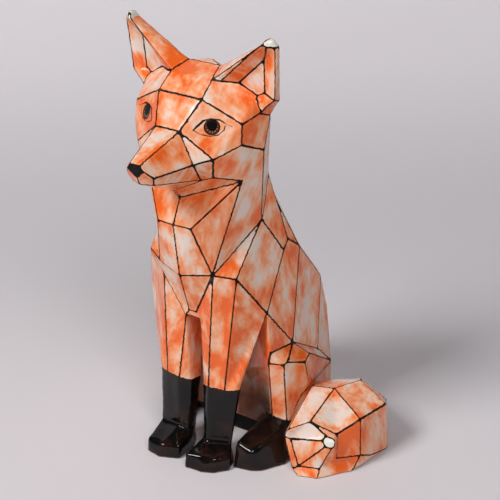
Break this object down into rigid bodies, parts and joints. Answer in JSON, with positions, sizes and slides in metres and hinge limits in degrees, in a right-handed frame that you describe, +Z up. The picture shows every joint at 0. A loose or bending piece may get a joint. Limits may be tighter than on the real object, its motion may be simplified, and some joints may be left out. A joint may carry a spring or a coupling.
{
  "type": "fox figurine",
  "caption": "Seated fox ornament of faceted glazed ceramic, with black legs, upright ears and a tail lying along its left side.",
  "frame": {"origin": "middle of the footprint, on the surface the fox sits on", "axes": "+Z up, the fox faces -Y, its own left side and its tail are towards +X"},
  "size_m": [0.1682, 0.184, 0.3034],
  "materials": {
    "brushed_glaze": "gloss glaze, orange sponged over cream, with hand-brushed black lines",
    "black_glaze": "gloss black glaze with a thin bare clay rim at the floor"
  },
  "bodies": {
    "root": {"torso": "brushed_glaze", "head": "brushed_glaze", "left_ear": "brushed_glaze", "right_ear": "brushed_glaze", "left_foreleg": "brushed_glaze", "right_foreleg": "brushed_glaze", "left_forepaw": "black_glaze", "right_forepaw": "black_glaze", "left_hind_foot": "black_glaze", "right_hind_foot": "black_glaze", "tail": "brushed_glaze"}
  },
  "joints": []
}
